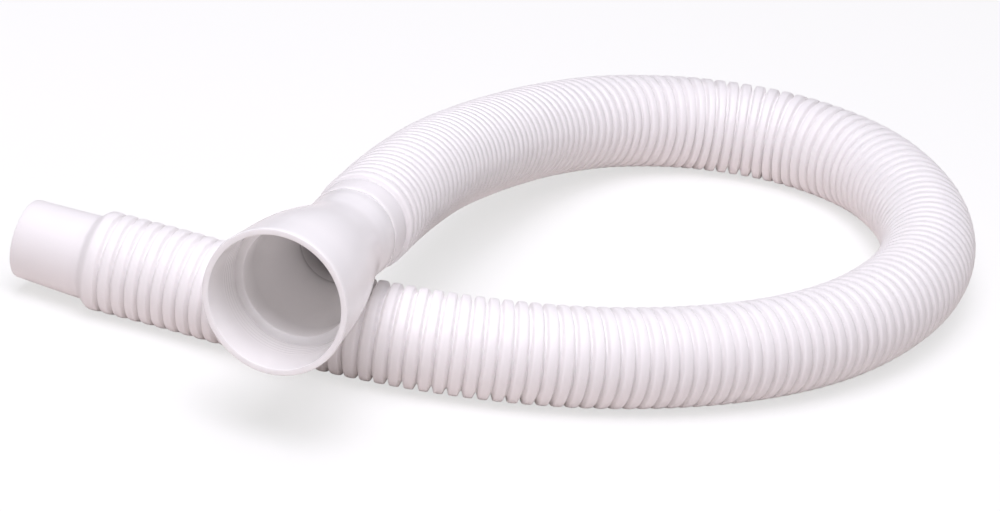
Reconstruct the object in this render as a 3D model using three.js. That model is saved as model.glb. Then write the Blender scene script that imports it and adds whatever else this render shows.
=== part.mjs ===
// A waste hose for a sink or basin: a blow-moulded corrugated hose that lies in one loop, with a
// plain cuff at its outlet end and a moulded cup coupling bonded over its plain inlet end.
// Millimetres, +Z up. The origin is on the floor, under the middle of the loop.
import * as THREE from "three";

// Hose: crest radius of the ribs, how deep the grooves are, and how far apart the ribs stand
const CREST_RADIUS = 20;
const GROOVE_DEPTH = 2.7;
const RIB_PITCH = 5.6;
const GROOVE_SHARE = 0.42;
const HOSE_WALL = 1.6;

// Plain ends of the hose: the outlet cuff, which widens towards the ribs and rises to the first
// of them, and the inlet spigot that the coupling is bonded over, behind a smooth collar
const CUFF_RADIUS = 15.9;
const CUFF_ROOT_RADIUS = 16.9;
const CUFF_LENGTH = 28.5;
const CUFF_WALL = 1.8;
const CUFF_RISE_LENGTH = 5;
const SPIGOT_RADIUS = 16.6;
const SPIGOT_WALL = 1.8;
const COLLAR_RADIUS = 18.8;
const COLLAR_LENGTH = 12;
const COLLAR_STEP = 1.2;

// Cup coupling: mouth, threaded socket, sealing ledge, throat and neck
const CUP_LENGTH = 79;
const CUP_RADIUS = 29.2;
const CUP_DRAFT = 1.3;
const BELL_LENGTH = 14;
const MOUTH_WALL = 2.5;
const SOCKET_LENGTH = 24;
const SOCKET_DRAFT = 1;
const LEDGE_WIDTH = 3.4;
const THROAT_LENGTH = 10;
const NECK_LENGTH = 13;
const NECK_WALL = 1.6;
const NECK_SOCKET = 15;
const EDGE_BREAK = 0.6;
const CUP_HEADING = 16.5;

// Handles of the S-curves from bell to neck outside and from throat to neck inside, as shares of
// the curve's length and of its change in radius
const TAPER_START = { reach: 0.54, drop: 0.18 };
const TAPER_END_REACH = 0.81;
const THROAT_START_REACH = 0.3;
const THROAT_END_REACH = 0.65;

// Clearances: the bonded joint's glue line, and the inlet run above the outlet run it lies on
const GLUE_GAP = 0.3;
const REST_GAP = 0.3;

// Facets around the hose and the cup, and ribs between two rings of the bore
const HOSE_SIDES = 10;
const CUP_SIDES = 48;
const CURVE_STEPS = 6;
const RIBS_PER_BORE_RING = 3;
const LENGTH_STEPS = 2000;

// The hose's route on the floor, from the cuff's end round the loop to the coupling. The third
// number is the share of the rise over the outlet run: 0 lies on the floor, 1 lies on the hose.
const ROUTE = [
  [-188.5, -63.2, 0],
  [-162, -72.5, 0],
  [-127, -82, 0],
  [-88, -93.5, 0],
  [-49, -102, 0],
  [-9, -104, 0],
  [31, -99, 0],
  [69, -86, 0],
  [104, -65.5, 0],
  [133, -38.5, 0],
  [155, -5, 0],
  [169.5, 32, 0],
  [174.5, 71.5, 0],
  [168, 111, 0],
  [148.5, 146, 0],
  [115, 166.5, 0],
  [75, 168.5, 0.006],
  [38, 151, 0.06],
  [11, 119, 0.18],
  [-7, 82.5, 0.345],
  [-21, 45, 0.525],
  [-33, 6.5, 0.705],
  [-43, -33, 0.86],
  [-50, -61, 0.93],
];

// The inlet end's straight stretch: where the spigot ends inside the neck, and its length
const SPIGOT_END = [-64.9, -119.5];
const STRAIGHT_LENGTH = 30;

const rootRadius = CREST_RADIUS - GROOVE_DEPTH;
const boreRadius = rootRadius - HOSE_WALL;
const neckRadius = SPIGOT_RADIUS + GLUE_GAP + NECK_WALL;
const overpassRise = CREST_RADIUS + Math.max(CREST_RADIUS, neckRadius) + REST_GAP;
const heading = THREE.MathUtils.degToRad(CUP_HEADING);
const upstream = new THREE.Vector3(Math.sin(heading), Math.cos(heading), 0);
const up = new THREE.Vector3(0, 0, 1);
const spigotEnd = new THREE.Vector3(...SPIGOT_END, CREST_RADIUS + overpassRise);

// A point on the coupling's axis, at a distance from the spigot's end towards the hose
function onAxis(distance) {
  return spigotEnd.clone().addScaledVector(upstream, distance);
}

// The hose's centreline, ending in a straight stretch on the coupling's axis
function centreline() {
  const points = ROUTE.map(([x, y, share]) => {
    return new THREE.Vector3(x, y, CREST_RADIUS + share * overpassRise);
  });
  points.push(onAxis(STRAIGHT_LENGTH), onAxis(STRAIGHT_LENGTH / 2), onAxis(0));
  const curve = new THREE.CatmullRomCurve3(points, false, "centripetal");
  curve.arcLengthDivisions = LENGTH_STEPS;
  return curve;
}

// The hose's wall in section, as a closed outline of [distance along the hose, radius]: out along
// the cuff, the ribs, the collar and the spigot, and back through the bore
function hoseOutline(length) {
  const spigotStart = length - NECK_SOCKET;
  const ribsStart = CUFF_LENGTH + CUFF_RISE_LENGTH;
  const ribsEnd = spigotStart - COLLAR_LENGTH;
  const ribCount = Math.round((ribsEnd - ribsStart) / RIB_PITCH);
  const pitch = (ribsEnd - ribsStart) / (ribCount - GROOVE_SHARE / 2);
  const outline = [
    [0, CUFF_RADIUS],
    [CUFF_LENGTH, CUFF_ROOT_RADIUS],
  ];
  for (let rib = 0; rib < ribCount; rib++) {
    const start = ribsStart + rib * pitch;
    outline.push([start, CREST_RADIUS]);
    outline.push([start + pitch * (1 - GROOVE_SHARE), CREST_RADIUS]);
    outline.push([start + pitch * (1 - GROOVE_SHARE / 2), rootRadius]);
  }
  outline.push([ribsEnd + COLLAR_STEP, COLLAR_RADIUS]);
  outline.push([spigotStart, COLLAR_RADIUS]);
  outline.push([spigotStart, SPIGOT_RADIUS]);
  outline.push([length, SPIGOT_RADIUS]);
  outline.push([length, SPIGOT_RADIUS - SPIGOT_WALL]);
  outline.push([ribsEnd, SPIGOT_RADIUS - SPIGOT_WALL]);
  for (let rib = ribCount - 1; rib > 0; rib -= RIBS_PER_BORE_RING) {
    outline.push([ribsStart + rib * pitch, boreRadius]);
  }
  outline.push([CUFF_LENGTH, CUFF_ROOT_RADIUS - CUFF_WALL]);
  outline.push([0, CUFF_RADIUS - CUFF_WALL]);
  return outline;
}

// A closed shell made by carrying each point of the outline once round the curve. One vertex of
// every ring points straight down, so that the ribs meet the floor on their crests.
function sweptShell(curve, outline, sides) {
  const length = curve.getLength();
  const positions = [];
  for (const [distance, radius] of outline) {
    const centre = curve.getPointAt(distance / length);
    const tangent = curve.getTangentAt(distance / length);
    const side = new THREE.Vector3().crossVectors(tangent, up).normalize();
    const top = new THREE.Vector3().crossVectors(side, tangent);
    for (let k = 0; k < sides; k++) {
      const angle = (2 * Math.PI * k) / sides - Math.PI / 2;
      const point = centre.clone();
      point.addScaledVector(side, radius * Math.cos(angle));
      point.addScaledVector(top, radius * Math.sin(angle));
      positions.push(point.x, point.y, point.z);
    }
  }
  const faces = [];
  for (let ring = 0; ring < outline.length; ring++) {
    const next = (ring + 1) % outline.length;
    for (let k = 0; k < sides; k++) {
      const a = ring * sides + k;
      const b = ring * sides + ((k + 1) % sides);
      const c = next * sides + ((k + 1) % sides);
      const d = next * sides + k;
      faces.push(a, c, b, a, d, c);
    }
  }
  const geometry = new THREE.BufferGeometry();
  geometry.setAttribute("position", new THREE.Float32BufferAttribute(positions, 3));
  geometry.setIndex(faces);
  geometry.computeVertexNormals();
  return geometry;
}

// The coupling's half section as [radius, distance from the mouth], closed on itself
function cupProfile() {
  const bellEnd = CUP_RADIUS - CUP_DRAFT;
  const mouthBore = CUP_RADIUS - MOUTH_WALL;
  const socketEnd = mouthBore - SOCKET_DRAFT;
  const throatRadius = socketEnd - LEDGE_WIDTH;
  const throatEnd = SOCKET_LENGTH + THROAT_LENGTH;
  const stop = CUP_LENGTH - NECK_SOCKET;
  const neckStart = CUP_LENGTH - NECK_LENGTH;
  const taperLength = neckStart - BELL_LENGTH;
  const taperDrop = bellEnd - neckRadius;
  const coneLength = stop - throatEnd;
  const profile = new THREE.Path();
  profile.moveTo(mouthBore + EDGE_BREAK, 0);
  profile.lineTo(CUP_RADIUS - EDGE_BREAK, 0);
  profile.lineTo(CUP_RADIUS, EDGE_BREAK);
  profile.lineTo(bellEnd, BELL_LENGTH);
  profile.bezierCurveTo(
    bellEnd - TAPER_START.drop * taperDrop,
    BELL_LENGTH + TAPER_START.reach * taperLength,
    neckRadius,
    BELL_LENGTH + TAPER_END_REACH * taperLength,
    neckRadius,
    neckStart,
  );
  profile.lineTo(neckRadius, CUP_LENGTH);
  profile.lineTo(SPIGOT_RADIUS + GLUE_GAP, CUP_LENGTH);
  profile.lineTo(SPIGOT_RADIUS + GLUE_GAP, stop);
  profile.lineTo(SPIGOT_RADIUS - SPIGOT_WALL, stop);
  profile.bezierCurveTo(
    SPIGOT_RADIUS - SPIGOT_WALL,
    throatEnd + THROAT_END_REACH * coneLength,
    throatRadius,
    throatEnd + THROAT_START_REACH * coneLength,
    throatRadius,
    throatEnd,
  );
  profile.lineTo(throatRadius, SOCKET_LENGTH);
  profile.lineTo(socketEnd, SOCKET_LENGTH);
  profile.lineTo(mouthBore, EDGE_BREAK);
  profile.lineTo(mouthBore + EDGE_BREAK, 0);
  return profile.getPoints(CURVE_STEPS);
}

function corrugatedHose() {
  const curve = centreline();
  const geometry = sweptShell(curve, hoseOutline(curve.getLength()), HOSE_SIDES);
  const material = new THREE.MeshStandardMaterial({
    color: 0xf1eceb,
    roughness: 0.42,
    metalness: 0,
  });
  const mesh = new THREE.Mesh(geometry, material);
  mesh.name = "corrugated_hose";
  return mesh;
}

function cupCoupling() {
  const geometry = new THREE.LatheGeometry(cupProfile(), CUP_SIDES);
  const material = new THREE.MeshStandardMaterial({
    color: 0xf0f0f2,
    roughness: 0.28,
    metalness: 0,
  });
  const mesh = new THREE.Mesh(geometry, material);
  mesh.name = "cup_coupling";
  mesh.position.copy(onAxis(NECK_SOCKET - GLUE_GAP - CUP_LENGTH));
  mesh.rotation.z = -heading;
  return mesh;
}

const wasteHose = new THREE.Group();
wasteHose.name = "waste_hose";
wasteHose.add(corrugatedHose(), cupCoupling());

export default wasteHose;
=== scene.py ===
import math

import bpy
import numpy as np
from mathutils import Matrix, Vector


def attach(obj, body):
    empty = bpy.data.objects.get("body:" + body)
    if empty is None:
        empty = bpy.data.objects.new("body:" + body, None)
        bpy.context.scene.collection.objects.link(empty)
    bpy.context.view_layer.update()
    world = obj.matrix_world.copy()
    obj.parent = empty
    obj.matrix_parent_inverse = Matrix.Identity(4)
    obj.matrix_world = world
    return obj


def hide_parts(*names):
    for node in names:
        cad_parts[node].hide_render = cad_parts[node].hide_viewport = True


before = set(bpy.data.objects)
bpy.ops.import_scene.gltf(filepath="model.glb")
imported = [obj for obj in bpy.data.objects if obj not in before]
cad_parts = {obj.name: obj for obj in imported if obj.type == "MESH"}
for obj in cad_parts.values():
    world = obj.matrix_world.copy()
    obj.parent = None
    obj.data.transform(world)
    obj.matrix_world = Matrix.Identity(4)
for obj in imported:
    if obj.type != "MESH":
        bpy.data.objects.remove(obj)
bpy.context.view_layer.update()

# A white corrugated waste hose that lies in one loop, with a glossy cup coupling on its inlet end.
# Everything is in metres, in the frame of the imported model.

MM = 0.001

# Hose: ribs, wall, the plain outlet cuff, and the inlet spigot behind its smooth collar
CREST_RADIUS = 20 * MM
GROOVE_DEPTH = 2.7 * MM
RIB_PITCH = 5.6 * MM
GROOVE_SHARE = 0.42
HOSE_WALL = 1.2 * MM
CUFF_RADIUS = 15.9 * MM
CUFF_ROOT_RADIUS = 16.9 * MM
CUFF_LENGTH = 28.5 * MM
CUFF_WALL = 1.8 * MM
CUFF_RISE_LENGTH = 5 * MM
CUFF_LIP = 0.3 * MM
SPIGOT_RADIUS = 16.6 * MM
SPIGOT_WALL = 1.8 * MM
SPIGOT_BORE = SPIGOT_RADIUS - SPIGOT_WALL
COLLAR_RADIUS = 18.8 * MM
COLLAR_LENGTH = 12 * MM
COLLAR_RISE_LENGTH = 1.6 * MM
COLLAR_BORE_BLEND = 1.2 * MM

# Cup coupling: bell, threaded socket, sealing ledge, throat and neck
CUP_LENGTH = 79 * MM
CUP_RADIUS = 29.2 * MM
CUP_DRAFT = 1.3 * MM
BELL_LENGTH = 14 * MM
MOUTH_WALL = 2.5 * MM
MOUTH_BORE = CUP_RADIUS - MOUTH_WALL
SOCKET_LENGTH = 24 * MM
SOCKET_DRAFT = 1 * MM
SOCKET_END_RADIUS = MOUTH_BORE - SOCKET_DRAFT
LEDGE_WIDTH = 3.4 * MM
THROAT_LENGTH = 10 * MM
NECK_LENGTH = 13 * MM
NECK_WALL = 1.6 * MM
NECK_SOCKET = 15 * MM
CUP_HEADING = math.radians(16.5)

# Handles of the S-curves from bell to neck outside and from throat to neck inside, as shares of
# the curve's length and of its change in radius
TAPER_START_REACH = 0.54
TAPER_START_DROP = 0.18
TAPER_END_REACH = 0.81
THROAT_START_REACH = 0.3
THROAT_END_REACH = 0.65

# Thread in the socket: faint, and fading in and out at its ends
THREAD_START = 13 * MM
THREAD_END = 22.4 * MM
THREAD_PITCH = 1.8 * MM
THREAD_HEIGHT = 0.12 * MM
THREAD_FADE = 2 * MM
THREAD_SHARPNESS = 1.5

# Relief groove at the ledge's outer corner, which runs under the ledge
RELIEF_LENGTH = 1.1 * MM
RELIEF_SLOPE = 0.2 * MM
RELIEF_DEPTH = 0.4 * MM
RELIEF_CORNER_DEPTH = 0.3 * MM
RELIEF_UNDERCUT = 0.1 * MM

# Clearances. The spigot's end lies closer to the cup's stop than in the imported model, so that no
# dark ring shows between them.
GLUE_GAP = 0.3 * MM
SPIGOT_END_GAP = 0.04 * MM
REST_GAP = 0.3 * MM
NECK_RADIUS = SPIGOT_RADIUS + GLUE_GAP + NECK_WALL

# Edges are broken over this length, and the two lips that meet inside the neck over the second.
# Each table gives an edge's points as shares of it, along the wall and across it.
EDGE_BREAK = 0.5 * MM
SEAM_BREAK = 0.03 * MM
CUFF_EDGE = ((0, 1), (0.12, 0.5), (0.5, 0.12))
COLLAR_EDGE = ((0.15, 0.3), (0, 1))
CUP_EDGE = ((1, 0), (0.3, 0.3), (0, 1))
MOUTH_EDGE = ((0.5, 0), (0.15, 0.2))
MOUTH_LIP = 0.6 * EDGE_BREAK
RIM_HANDLE = 0.45

# The ribs' section from one groove's bottom to the next: where its points lie, how far the flanks
# reach and how domed the crests are. The bore follows the ribs with fewer points.
RIB_STEPS = (0.0, 0.05, 0.1, 0.15, 0.205, 0.29, 0.5, 0.71, 0.795, 0.85, 0.9, 0.95)
FLANK_SHARE = 0.55 * GROOVE_SHARE
CREST_DOME = 0.13
FIRST_RIB_FROM = 0.55
BORE_STEPS = (0.5, 0.0)

# Facets
HOSE_SIDES = 42
CUP_SIDES = 128
CUFF_STEPS = 8
COLLAR_STEPS = 4
COLLAR_RISE_STEPS = 5
RIM_STEPS = 4
BELL_STEPS = 5
TAPER_STEPS = 30
THROAT_STEPS = 16
THREAD_STEP = 0.3 * MM
SAMPLES_PER_SPAN = 120

# The hose's route, from the cuff's end round the loop to the coupling: x, y, and the share of the
# rise over the outlet run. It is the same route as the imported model's.
ROUTE = [
    (-0.1885, -0.0632, 0), (-0.162, -0.0725, 0), (-0.127, -0.082, 0), (-0.088, -0.0935, 0),
    (-0.049, -0.102, 0), (-0.009, -0.104, 0), (0.031, -0.099, 0), (0.069, -0.086, 0),
    (0.104, -0.0655, 0), (0.133, -0.0385, 0), (0.155, -0.005, 0), (0.1695, 0.032, 0),
    (0.1745, 0.0715, 0), (0.168, 0.111, 0), (0.1485, 0.146, 0), (0.115, 0.1665, 0),
    (0.075, 0.1685, 0.006), (0.038, 0.151, 0.06), (0.011, 0.119, 0.18), (-0.007, 0.0825, 0.345),
    (-0.021, 0.045, 0.525), (-0.033, 0.0065, 0.705), (-0.043, -0.033, 0.86), (-0.05, -0.061, 0.93),
]
OVERPASS_RISE = CREST_RADIUS + max(CREST_RADIUS, NECK_RADIUS) + REST_GAP
SPIGOT_END = np.array([-0.0649, -0.1195, CREST_RADIUS + OVERPASS_RISE])
STRAIGHT_LENGTH = 30 * MM
UPSTREAM = np.array([math.sin(CUP_HEADING), math.cos(CUP_HEADING), 0.0])
UP = np.array([0.0, 0.0, 1.0])

# Camera: where it stands, how far it looks down, how far it is turned about its own view, and
# its lens and film in millimetres
CAMERA_PLACE = (-0.0025, -1.9525, 0.8446)
CAMERA_DOWN = math.radians(23)
CAMERA_TURN = math.radians(8.5)
CAMERA_LENS = 187.2
CAMERA_FILM = 36
CAMERA_RANGE = 30

# Plastics: each has a light and a dark tone, and a fine moulded grain
HOSE_PLASTIC = {
    "light": (0.905, 0.895, 0.89),
    "dark": (0.885, 0.872, 0.866),
    "roughness": 0.4,
    "spread": 0.05,
    "grain": 900,
    "depth": 0.08 * MM,
}
CUP_PLASTIC = {
    "light": (0.935, 0.93, 0.922),
    "dark": (0.915, 0.907, 0.897),
    "roughness": 0.24,
    "spread": 0.03,
    "grain": 500,
    "depth": 0.04 * MM,
}
CLOUD_SCALE = 22
CLOUD_DETAIL = 3
GRAIN_DETAIL = 4
GRAIN_STRENGTH = 0.35
SCATTER_WEIGHT = 0.4
SCATTER_RADIUS = (1.0, 1.0, 1.0)
SCATTER_SCALE = 2 * MM

# Floor and backdrop: what the camera sees is nearly white, and what lights the hose is darker
FLOOR_HALF = 6
FLOOR_COLOUR = (0.78, 0.72, 0.69, 1)
FLOOR_ROUGHNESS = 0.8
FLOOR_SEEN_COLOUR = (0.97, 0.97, 0.97, 1)
FLOOR_SEEN_GLOW = 0.65
WHITE = (1, 1, 1, 1)
WORLD_COLOUR = (1.0, 0.98, 0.96, 1)
WORLD_STRENGTH = 0.15

# Soft lamps, all aimed at the origin: place, size across and power in watts
LAMP_COLOUR = (0.95, 0.91, 1)
LAMPS = {
    "key": ((-0.45, -1.0, 1.9), 1.2, 17.0),
    "fill": ((0.3, -1.0, 1.9), 1.2, 16.6),
    "top": ((-0.1, 0, 2.3), 1.6, 22.9),
    "low": ((-0.75, -1.6, 0.55), 0.8, 1.2),
}
DIFFUSE_BOUNCES = 12
MAX_BOUNCES = 16


def link(piece):
    bpy.context.scene.collection.objects.link(piece)
    return piece


def make_camera():
    data = bpy.data.cameras.new("camera")
    data.lens = CAMERA_LENS
    data.sensor_width = CAMERA_FILM
    data.clip_end = CAMERA_RANGE
    camera = link(bpy.data.objects.new("camera", data))
    tilt = Matrix.Rotation(math.radians(90) - CAMERA_DOWN, 4, "X")
    turn = Matrix.Rotation(CAMERA_TURN, 4, "Z")
    camera.matrix_world = Matrix.Translation(CAMERA_PLACE) @ tilt @ turn
    bpy.context.scene.camera = camera


# Centreline


def catmull_rom(p0, p1, p2, p3, t):
    """Points of a centripetal Catmull-Rom span from p1 to p2."""
    d0 = np.linalg.norm(p1 - p0) ** 0.5
    d1 = np.linalg.norm(p2 - p1) ** 0.5
    d2 = np.linalg.norm(p3 - p2) ** 0.5
    t1 = ((p1 - p0) / d0 - (p2 - p0) / (d0 + d1) + (p2 - p1) / d1) * d1
    t2 = ((p2 - p1) / d1 - (p3 - p1) / (d1 + d2) + (p3 - p2) / d2) * d1
    t = t[:, None]
    return (
        p1
        + t1 * t
        + (3 * p2 - 3 * p1 - 2 * t1 - t2) * t**2
        + (2 * p1 - 2 * p2 + t1 + t2) * t**3
    )


class Centreline:
    """The hose's middle: a smooth curve through the route and the straight stretch on the
    coupling's axis, sampled finely and read by its length from the cuff's end."""

    def __init__(self):
        points = [np.array([x, y, CREST_RADIUS + share * OVERPASS_RISE]) for x, y, share in ROUTE]
        for distance in (STRAIGHT_LENGTH, STRAIGHT_LENGTH / 2, 0):
            points.append(SPIGOT_END + UPSTREAM * distance)
        points.insert(0, 2 * points[0] - points[1])
        points.append(2 * points[-1] - points[-2])
        t = np.linspace(0, 1, SAMPLES_PER_SPAN, endpoint=False)
        spans = [catmull_rom(*points[i : i + 4], t) for i in range(len(points) - 3)]
        self.points = np.vstack([*spans, points[-2]])
        steps = np.linalg.norm(np.diff(self.points, axis=0), axis=1)
        self.at = np.concatenate([[0], np.cumsum(steps)])
        self.length = self.at[-1]
        self.tangents = np.gradient(self.points, axis=0)
        self.tangents /= np.linalg.norm(self.tangents, axis=1)[:, None]

    def read(self, values, distance):
        return np.stack([np.interp(distance, self.at, values[:, k]) for k in range(3)], axis=1)

    def frames(self, distance):
        """Centres, and the sideways and upward directions across the hose, at these distances."""
        centres = self.read(self.points, distance)
        tangents = self.read(self.tangents, distance)
        side = np.cross(tangents, UP)
        side /= np.linalg.norm(side, axis=1)[:, None]
        top = np.cross(side, tangents)
        top /= np.linalg.norm(top, axis=1)[:, None]
        return centres, side, top


LINE = Centreline()


# Sections, as lists of (distance, radius) that are carried round a line and closed on themselves


def smooth(x):
    x = min(1.0, max(0.0, x))
    return x * x * (3 - 2 * x)


def straight(start, end, steps):
    """Points of a straight line after its first one."""
    (at, radius), (end_at, end_radius) = start, end
    shares = [step / steps for step in range(1, steps + 1)]
    return [(at + (end_at - at) * s, radius + (end_radius - radius) * s) for s in shares]


def soft_step(start, end, steps):
    """Points of a smooth step from one radius to another, after its first one."""
    (at, radius), (end_at, end_radius) = start, end
    shares = [step / steps for step in range(1, steps + 1)]
    return [(at + (end_at - at) * s, radius + (end_radius - radius) * smooth(s)) for s in shares]


def bezier(p0, p1, p2, p3, steps):
    """Points of a cubic curve after its first one."""
    t = np.linspace(0, 1, steps + 1)[1:, None]
    p0, p1, p2, p3 = map(np.array, (p0, p1, p2, p3))
    curve = (1 - t) ** 3 * p0 + 3 * (1 - t) ** 2 * t * p1 + 3 * (1 - t) * t**2 * p2 + t**3 * p3
    return [tuple(p) for p in curve]


def broken_edge(at, radius, table, along, across):
    """Points of a broken edge, from its sharp corner and the signs of its two directions."""
    return [
        (at + along * a * EDGE_BREAK, radius + across * b * EDGE_BREAK) for a, b in table
    ]


def rib_height(share):
    """Height over the groove's bottom, as a share of its depth, from one groove to the next."""
    flank = smooth(min(share, 1 - share) / FLANK_SHARE)
    return (1 - CREST_DOME) * flank + CREST_DOME * (1 - (2 * share - 1) ** 2)


def hose_outline():
    """The hose's wall in section: along the outside from the cuff, then back through the bore."""
    length = LINE.length
    spigot = length - NECK_SOCKET
    start = CUFF_LENGTH + CUFF_RISE_LENGTH
    end = spigot - COLLAR_LENGTH
    count = round((end - start) / RIB_PITCH)
    pitch = (end - start) / (count - GROOVE_SHARE / 2)
    first_groove = start + (1 - GROOVE_SHARE / 2) * pitch
    root = CREST_RADIUS - GROOVE_DEPTH
    crest_bore = CREST_RADIUS - HOSE_WALL
    groove_bore = root - HOSE_WALL
    collar_start = end + COLLAR_RISE_LENGTH
    collar_bore = COLLAR_RADIUS - HOSE_WALL

    def rib_point(rib, share):
        return (first_groove + (rib + share) * pitch, root + GROOVE_DEPTH * rib_height(share))

    cuff_start = (EDGE_BREAK, CUFF_RADIUS)
    cuff_end = (CUFF_LENGTH, CUFF_ROOT_RADIUS)
    outline = broken_edge(0, CUFF_RADIUS, CUFF_EDGE, 1, -1) + [cuff_start]
    outline += straight(cuff_start, cuff_end, CUFF_STEPS)
    outline += soft_step(cuff_end, (start, CREST_RADIUS), CUFF_STEPS)
    outline += [rib_point(-1, share) for share in RIB_STEPS if share > FIRST_RIB_FROM]
    outline += [rib_point(rib, share) for rib in range(count - 1) for share in RIB_STEPS]
    outline.append((end, root))
    outline += soft_step((end, root), (collar_start, COLLAR_RADIUS), COLLAR_RISE_STEPS)
    outline += straight(
        (collar_start, COLLAR_RADIUS), (spigot - EDGE_BREAK, COLLAR_RADIUS), COLLAR_STEPS
    )
    outline += broken_edge(spigot, COLLAR_RADIUS, COLLAR_EDGE, -1, -1)
    outline += [
        (spigot, SPIGOT_RADIUS),
        (length, SPIGOT_RADIUS),
        (length, SPIGOT_BORE + SEAM_BREAK),
        (length - SEAM_BREAK, SPIGOT_BORE),
        (length - 5 * SEAM_BREAK, SPIGOT_BORE),
        (spigot + COLLAR_BORE_BLEND, SPIGOT_BORE),
        (spigot - COLLAR_BORE_BLEND, collar_bore),
        (collar_start, collar_bore),
        (end, groove_bore),
    ]
    for rib in range(count - 2, -1, -1):
        for share in BORE_STEPS:
            radius = crest_bore if share else groove_bore
            outline.append((first_groove + (rib + share) * pitch, radius))
    outline += [
        (start, crest_bore),
        (CUFF_LENGTH, CUFF_ROOT_RADIUS - CUFF_WALL),
        (CUFF_LIP, CUFF_RADIUS - CUFF_WALL),
        (0, CUFF_RADIUS - CUFF_WALL + CUFF_LIP),
    ]
    return np.array(outline)


def cup_outline():
    """The coupling's wall in section: from the rim along the outside, then back inside."""
    bell = CUP_RADIUS - CUP_DRAFT
    throat = SOCKET_END_RADIUS - LEDGE_WIDTH
    throat_end = SOCKET_LENGTH + THROAT_LENGTH
    stop = CUP_LENGTH - NECK_SOCKET + GLUE_GAP - SPIGOT_END_GAP
    neck = CUP_LENGTH - NECK_LENGTH
    taper = neck - BELL_LENGTH
    cone = stop - throat_end
    neck_bore = SPIGOT_RADIUS + GLUE_GAP
    relief = SOCKET_LENGTH - RELIEF_LENGTH

    outline = [(0, MOUTH_BORE + MOUTH_LIP), (0, CUP_RADIUS - EDGE_BREAK)]
    outline += bezier(
        (0, CUP_RADIUS - EDGE_BREAK),
        (0, CUP_RADIUS - RIM_HANDLE * EDGE_BREAK),
        (RIM_HANDLE * EDGE_BREAK, CUP_RADIUS),
        (EDGE_BREAK, CUP_RADIUS),
        RIM_STEPS,
    )
    outline += straight((EDGE_BREAK, CUP_RADIUS), (BELL_LENGTH, bell), BELL_STEPS)
    outline += bezier(
        (BELL_LENGTH, bell),
        (BELL_LENGTH + TAPER_START_REACH * taper, bell - TAPER_START_DROP * (bell - NECK_RADIUS)),
        (BELL_LENGTH + TAPER_END_REACH * taper, NECK_RADIUS),
        (neck, NECK_RADIUS),
        TAPER_STEPS,
    )
    outline.append((neck + NECK_LENGTH / 2, NECK_RADIUS))
    outline += broken_edge(CUP_LENGTH, NECK_RADIUS, CUP_EDGE, -1, -1)
    outline += [
        (CUP_LENGTH, neck_bore),
        (stop, neck_bore),
        (stop, SPIGOT_BORE + SEAM_BREAK),
        (stop - SEAM_BREAK, SPIGOT_BORE),
    ]
    outline += bezier(
        (stop - SEAM_BREAK, SPIGOT_BORE),
        (throat_end + THROAT_END_REACH * cone, SPIGOT_BORE),
        (throat_end + THROAT_START_REACH * cone, throat),
        (throat_end, throat),
        THROAT_STEPS,
    )
    outline += broken_edge(SOCKET_LENGTH, throat, CUP_EDGE, 1, 1)
    outline += [
        (SOCKET_LENGTH, SOCKET_END_RADIUS - RELIEF_CORNER_DEPTH),
        (SOCKET_LENGTH + RELIEF_UNDERCUT, SOCKET_END_RADIUS + RELIEF_CORNER_DEPTH),
        (relief + RELIEF_SLOPE, SOCKET_END_RADIUS + RELIEF_DEPTH),
    ]
    for at in np.arange(relief, EDGE_BREAK / 2, -THREAD_STEP):
        outline.append((at, MOUTH_BORE - SOCKET_DRAFT * at / SOCKET_LENGTH))
    outline += broken_edge(0, MOUTH_BORE, MOUTH_EDGE, 1, 1)
    return np.array(outline)


def thread_height(outline, angle):
    """How far the thread stands in from the socket's wall, at each point of each turn."""
    at, radius = outline[:, 0][:, None], outline[:, 1][:, None]
    inside = np.arange(len(outline))[:, None] > len(outline) / 2
    on_wall = inside & (radius > SOCKET_END_RADIUS)
    fade_in = np.clip((at - THREAD_START) / THREAD_FADE, 0, 1)
    fade_out = np.clip((THREAD_END - at) / THREAD_FADE, 0, 1)
    turn = (at / THREAD_PITCH - angle[None, :] / (2 * math.pi)) % 1
    ridge = (0.5 - 0.5 * np.cos(2 * math.pi * turn)) ** THREAD_SHARPNESS
    return THREAD_HEIGHT * on_wall * fade_in * fade_out * ridge


# Pieces


def link_mesh(name, vertices, faces):
    mesh = bpy.data.meshes.new(name)
    mesh.from_pydata([tuple(v) for v in vertices], [], faces)
    mesh.shade_smooth()
    return link(bpy.data.objects.new(name, mesh))


def ring_mesh(name, vertices):
    """A closed mesh of quads from rings of points, each joined to the next and the last to the
    first."""
    rings, sides, _ = vertices.shape
    faces = []
    for ring in range(rings):
        here = ring * sides
        there = ((ring + 1) % rings) * sides
        for k in range(sides):
            right = (k + 1) % sides
            faces.append((here + k, there + k, there + right, here + right))
    return link_mesh(name, vertices.reshape(-1, 3), faces)


def make_hose():
    outline = hose_outline()
    centres, side, top = LINE.frames(np.clip(outline[:, 0], 0, LINE.length))
    angle = 2 * math.pi * np.arange(HOSE_SIDES) / HOSE_SIDES - math.pi / 2
    across = np.cos(angle)[None, :, None] * side[:, None, :]
    upward = np.sin(angle)[None, :, None] * top[:, None, :]
    radius = outline[:, 1][:, None, None]
    return ring_mesh("hose", centres[:, None, :] + radius * (across + upward))


def make_cup():
    outline = cup_outline()
    mouth = SPIGOT_END + UPSTREAM * (NECK_SOCKET - GLUE_GAP - CUP_LENGTH)
    centres = mouth + outline[:, 0][:, None] * UPSTREAM
    angle = 2 * math.pi * np.arange(CUP_SIDES) / CUP_SIDES
    radial = np.cos(angle)[:, None] * np.cross(UPSTREAM, UP) + np.sin(angle)[:, None] * UP
    radius = outline[:, 1][:, None] - thread_height(outline, angle)
    return ring_mesh("cup", centres[:, None, :] + radius[:, :, None] * radial)


# Materials, floor, backdrop and lamps


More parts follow.
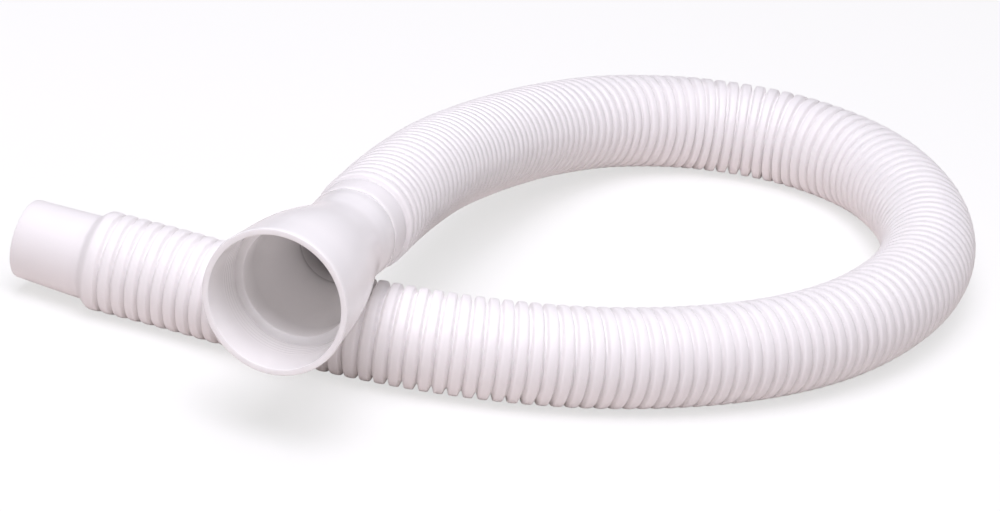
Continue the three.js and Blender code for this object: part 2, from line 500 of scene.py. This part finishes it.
def new_material(name):
    material = bpy.data.materials.new(name)
    material.use_nodes = True
    nodes = material.node_tree.nodes
    return material, nodes, material.node_tree.links, nodes["Principled BSDF"]


def add_noise(nodes, links, where, scale, detail):
    noise = nodes.new("ShaderNodeTexNoise")
    noise.inputs["Scale"].default_value = scale
    noise.inputs["Detail"].default_value = detail
    links.new(where, noise.inputs["Vector"])
    return noise.outputs["Fac"]


def plastic(name, light, dark, roughness, spread, grain, depth):
    """Moulded white plastic: faint cloudy colour, uneven gloss and a fine moulded surface."""
    material, nodes, links, shader = new_material(name)
    where = nodes.new("ShaderNodeTexCoord").outputs["Object"]
    cloud = add_noise(nodes, links, where, CLOUD_SCALE, CLOUD_DETAIL)
    tone = nodes.new("ShaderNodeMix")
    tone.data_type = "RGBA"
    tone.inputs["A"].default_value = (*light, 1)
    tone.inputs["B"].default_value = (*dark, 1)
    links.new(cloud, tone.inputs["Factor"])
    links.new(tone.outputs["Result"], shader.inputs["Base Color"])
    gloss = nodes.new("ShaderNodeMapRange")
    gloss.interpolation_type = "SMOOTHSTEP"
    gloss.inputs["To Min"].default_value = roughness - spread
    gloss.inputs["To Max"].default_value = roughness + spread
    links.new(cloud, gloss.inputs["Value"])
    links.new(gloss.outputs["Result"], shader.inputs["Roughness"])
    bump = nodes.new("ShaderNodeBump")
    bump.inputs["Strength"].default_value = GRAIN_STRENGTH
    bump.inputs["Distance"].default_value = depth
    links.new(add_noise(nodes, links, where, grain, GRAIN_DETAIL), bump.inputs["Height"])
    links.new(bump.outputs["Normal"], shader.inputs["Normal"])
    shader.inputs["Subsurface Weight"].default_value = SCATTER_WEIGHT
    shader.inputs["Subsurface Radius"].default_value = SCATTER_RADIUS
    shader.inputs["Subsurface Scale"].default_value = SCATTER_SCALE
    return material


def floor_material():
    """Pale floor. The camera sees it white, and it throws a little less light up at the hose."""
    material, nodes, links, shader = new_material("floor_finish")
    shader.inputs["Base Color"].default_value = FLOOR_COLOUR
    shader.inputs["Roughness"].default_value = FLOOR_ROUGHNESS
    matt = nodes.new("ShaderNodeBsdfDiffuse")
    matt.inputs["Color"].default_value = FLOOR_SEEN_COLOUR
    glow = nodes.new("ShaderNodeEmission")
    glow.inputs["Strength"].default_value = 1
    seen = nodes.new("ShaderNodeMixShader")
    seen.inputs["Fac"].default_value = FLOOR_SEEN_GLOW
    links.new(matt.outputs["BSDF"], seen.inputs[1])
    links.new(glow.outputs["Emission"], seen.inputs[2])
    path = nodes.new("ShaderNodeLightPath")
    either = nodes.new("ShaderNodeMixShader")
    links.new(path.outputs["Is Camera Ray"], either.inputs["Fac"])
    links.new(shader.outputs["BSDF"], either.inputs[1])
    links.new(seen.outputs["Shader"], either.inputs[2])
    links.new(either.outputs["Shader"], nodes["Material Output"].inputs["Surface"])
    return material


def make_floor():
    half = FLOOR_HALF
    corners = [(-half, -half, 0), (half, -half, 0), (half, half, 0), (-half, half, 0)]
    floor = link_mesh("floor", corners, [(0, 1, 2, 3)])
    floor.data.materials.append(floor_material())


def make_world():
    """Pale light from all round, behind a backdrop that the camera sees white."""
    world = bpy.data.worlds.new("studio")
    bpy.context.scene.world = world
    world.use_nodes = True
    nodes = world.node_tree.nodes
    links = world.node_tree.links
    nodes.clear()
    light = nodes.new("ShaderNodeBackground")
    light.inputs["Color"].default_value = WORLD_COLOUR
    light.inputs["Strength"].default_value = WORLD_STRENGTH
    seen = nodes.new("ShaderNodeBackground")
    seen.inputs["Color"].default_value = WHITE
    seen.inputs["Strength"].default_value = 1
    path = nodes.new("ShaderNodeLightPath")
    either = nodes.new("ShaderNodeMixShader")
    links.new(path.outputs["Is Camera Ray"], either.inputs["Fac"])
    links.new(light.outputs["Background"], either.inputs[1])
    links.new(seen.outputs["Background"], either.inputs[2])
    output = nodes.new("ShaderNodeOutputWorld")
    links.new(either.outputs["Shader"], output.inputs["Surface"])


def make_lamps():
    for name, (place, size, power) in LAMPS.items():
        data = bpy.data.lights.new(name, "AREA")
        data.shape = "DISK"
        data.size = size
        data.energy = power
        data.color = LAMP_COLOUR
        aim = (-Vector(place)).to_track_quat("-Z", "Y").to_matrix().to_4x4()
        lamp = link(bpy.data.objects.new(name, data))
        lamp.matrix_world = Matrix.Translation(place) @ aim


make_camera()

hose = make_hose()
hose.data.materials.append(plastic("hose_finish", **HOSE_PLASTIC))
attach(hose, "root")
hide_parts("corrugated_hose")

cup = make_cup()
cup.data.materials.append(plastic("cup_finish", **CUP_PLASTIC))
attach(cup, "root")
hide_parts("cup_coupling")

make_floor()
make_world()
make_lamps()
bpy.context.scene.view_settings.view_transform = "Standard"

# Light that reaches the inside of the cup and the bore has bounced between white walls many times
bpy.context.scene.cycles.diffuse_bounces = DIFFUSE_BOUNCES
bpy.context.scene.cycles.max_bounces = MAX_BOUNCES
